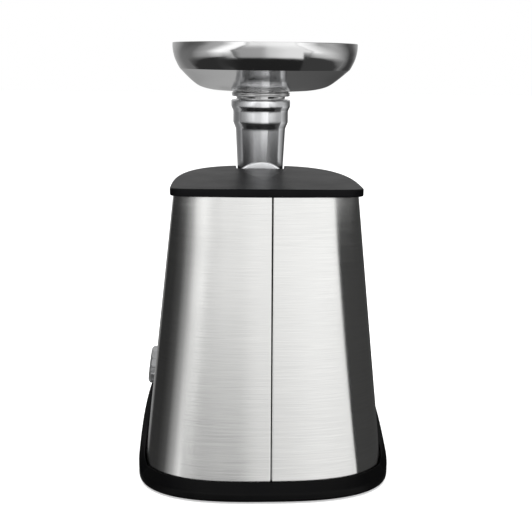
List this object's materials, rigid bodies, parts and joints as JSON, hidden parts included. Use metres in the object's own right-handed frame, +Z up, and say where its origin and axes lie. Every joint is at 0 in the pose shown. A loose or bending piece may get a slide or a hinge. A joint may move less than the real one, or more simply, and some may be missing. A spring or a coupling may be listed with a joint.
{
  "type": "electric meat grinder",
  "caption": "Tower meat grinder: tapering brushed-steel housing on a black plinth, removable cast head with feed tube, auger, blade, plate and ring nut, and a dished hopper tray.",
  "frame": {"origin": "centre of the footprint on the table under the feet", "axes": "+Z up, -Y towards the ring nut and outlet at the front, +X towards the side with the knob"},
  "size_m": [0.237, 0.29, 0.4],
  "materials": {
    "brushed_steel": "directionally brushed stainless sheet",
    "polished_steel": "mirror-polished stainless",
    "cast_aluminium": "polished die casting",
    "gearbox_aluminium": "as-cast, matt",
    "black_plastic": "fine satin grain",
    "grey_plastic": "moulded",
    "white_nylon": "moulded",
    "silver_plastic": "silver lacquered",
    "rubber": "matt",
    "machined_steel": "turned and ground",
    "copper": "enamelled wire and copper bars",
    "laminations": "stacked electrical steel"
  },
  "bodies": {
    "housing": {"base_plinth": "black_plastic", "cord_gland": "rubber", "steel_panel_left": "brushed_steel", "steel_panel_right": "brushed_steel", "seam_strip": "black_plastic", "top_cover": "black_plastic", "front_fascia": "black_plastic", "lock_spring": "machined_steel", "knob_bezel": "black_plastic", "rotary_switch": "grey_plastic", "gearbox_housing": "gearbox_aluminium", "gearbox_cover": "gearbox_aluminium", "head_socket": "gearbox_aluminium", "motor_chassis": "machined_steel", "front_bearing": "machined_steel", "rear_bearing": "machined_steel", "stator_core": "laminations", "upper_field_coil": "copper", "lower_field_coil": "copper", "rear_motor_bracket": "machined_steel", "left_brush_holder": "grey_plastic", "right_brush_holder": "grey_plastic", "suppressor_capacitor": "grey_plastic", "rubber_foot_1": "rubber", "base_screw_1": "machined_steel", "gearbox_screw_1": "machined_steel", "rubber_foot_2": "rubber", "base_screw_2": "machined_steel", "gearbox_screw_2": "machined_steel", "rubber_foot_3": "rubber", "base_screw_3": "machined_steel", "gearbox_screw_3": "machined_steel", "rubber_foot_4": "rubber", "base_screw_4": "machined_steel", "gearbox_screw_4": "machined_steel"},
    "motor_rotor": {"armature_core": "laminations", "armature_shaft": "machined_steel", "commutator": "copper", "cooling_fan": "grey_plastic", "motor_pinion": "machined_steel"},
    "first_stage": {"first_gear": "white_nylon", "first_pinion_shaft": "machined_steel"},
    "second_stage": {"second_gear": "white_nylon", "second_pinion_shaft": "machined_steel"},
    "output_stage": {"output_gear": "machined_steel", "drive_spindle": "machined_steel"},
    "head": {"head_casting": "cast_aluminium", "auger_thrust_washer": "white_nylon"},
    "hopper": {"hopper_tray": "polished_steel"},
    "auger": {"auger": "cast_aluminium", "cutting_blade": "polished_steel"},
    "cutting_plate": {"cutting_plate": "polished_steel"},
    "ring_nut": {"ring_nut": "cast_aluminium"},
    "knob": {"speed_knob": "silver_plastic", "switch_spindle": "machined_steel"},
    "lock_slider": {"lock_slider": "silver_plastic"}
  },
  "joints": [
    {"name": "motor_spin", "type": "hinge", "parent": "housing", "child": "motor_rotor", "pos_m": [0, 0.0465, 0.15176], "axis": [0, -1, 0], "continuous": true},
    {"name": "first_gear_spin", "type": "hinge", "parent": "housing", "child": "first_stage", "pos_m": [0, 0.0025, 0.17988], "axis": [0, -1, 0], "continuous": true},
    {"name": "second_gear_spin", "type": "hinge", "parent": "housing", "child": "second_stage", "pos_m": [0.009, -0.0085, 0.20981], "axis": [0, -1, 0], "continuous": true},
    {"name": "output_spin", "type": "hinge", "parent": "housing", "child": "output_stage", "pos_m": [0, -0.0225, 0.24], "axis": [0, -1, 0], "continuous": true},
    {"name": "head_slide", "type": "slide", "parent": "housing", "child": "head", "axis": [0, -1, 0], "range_m": [0, 0.08]},
    {"name": "auger_spin", "type": "hinge", "parent": "head", "child": "auger", "pos_m": [0, -0.0795, 0.24], "axis": [0, -1, 0], "continuous": true},
    {"name": "plate_slide", "type": "slide", "parent": "head", "child": "cutting_plate", "axis": [0, -1, 0], "range_m": [0, 0.00601]},
    {"name": "ring_nut_turn", "type": "hinge", "parent": "cutting_plate", "child": "ring_nut", "pos_m": [0, -0.1115, 0.24], "axis": [0, -1, 0], "range_deg": [0, 720]},
    {"name": "hopper_lift", "type": "slide", "parent": "head", "child": "hopper", "axis": [0, 0, 1], "range_m": [0, 0.06]},
    {"name": "knob_turn", "type": "hinge", "parent": "housing", "child": "knob", "pos_m": [0.10249, -0.0095, 0.077], "axis": [0.9934, 0, 0.1149], "range_deg": [-60, 60]},
    {"name": "lock_slide", "type": "slide", "parent": "housing", "child": "lock_slider", "axis": [0, 0, -1], "range_m": [0, 0.006], "stiffness_N_per_m": 400, "springref_m": -0.01, "deforming": ["lock_spring"]}
  ],
  "couplings": [
    {"joint": "first_gear_spin", "follows": "motor_spin", "ratio": -0.25},
    {"joint": "second_gear_spin", "follows": "motor_spin", "ratio": 0.0625},
    {"joint": "output_spin", "follows": "motor_spin", "ratio": -0.019531},
    {"joint": "auger_spin", "follows": "motor_spin", "ratio": -0.019531},
    {"joint": "plate_slide", "follows": "ring_nut_turn", "m_per_rad": 0.00047746}
  ]
}
